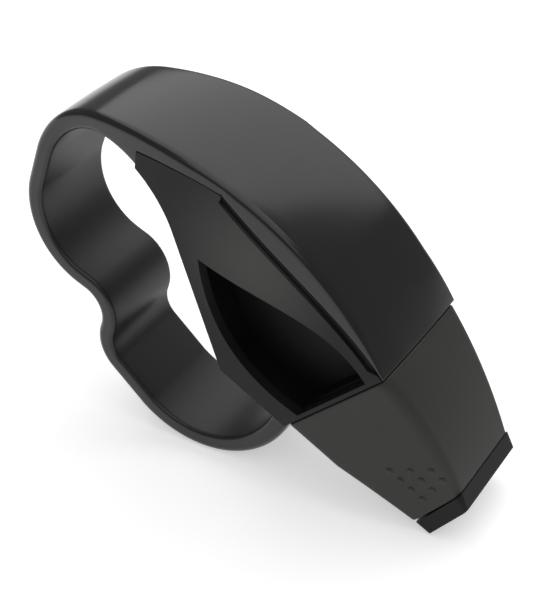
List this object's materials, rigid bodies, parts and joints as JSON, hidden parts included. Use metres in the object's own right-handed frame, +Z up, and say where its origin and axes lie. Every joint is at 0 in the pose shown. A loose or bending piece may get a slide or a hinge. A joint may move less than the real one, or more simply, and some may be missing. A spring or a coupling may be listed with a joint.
{
  "type": "finger-grip whistle",
  "caption": "Black plastic sports whistle without a pea, with a two-finger loop, leaf-shaped side sound windows and a soft mouth grip.",
  "frame": {"origin": "middle of the whistle's box, on the surface that it stands on with its front finger loop and the lower edge of its tip", "axes": "+X towards the mouthpiece's tip, +Y across the whistle to its left side, +Z up"},
  "size_m": [0.0644, 0.0194, 0.0478],
  "materials": {
    "band": "black moulded plastic with a soft gloss",
    "cover": "black moulded plastic, satin",
    "core": "black moulded plastic, polished",
    "soft": "charcoal soft rubber, matte"
  },
  "bodies": {
    "root": {"grip_band": "band", "chamber_core": "core", "left_chamber_cover": "cover", "right_chamber_cover": "cover", "centre_chamber_lid": "core", "windway_floor": "core", "mouth_grip": "soft"}
  },
  "joints": []
}
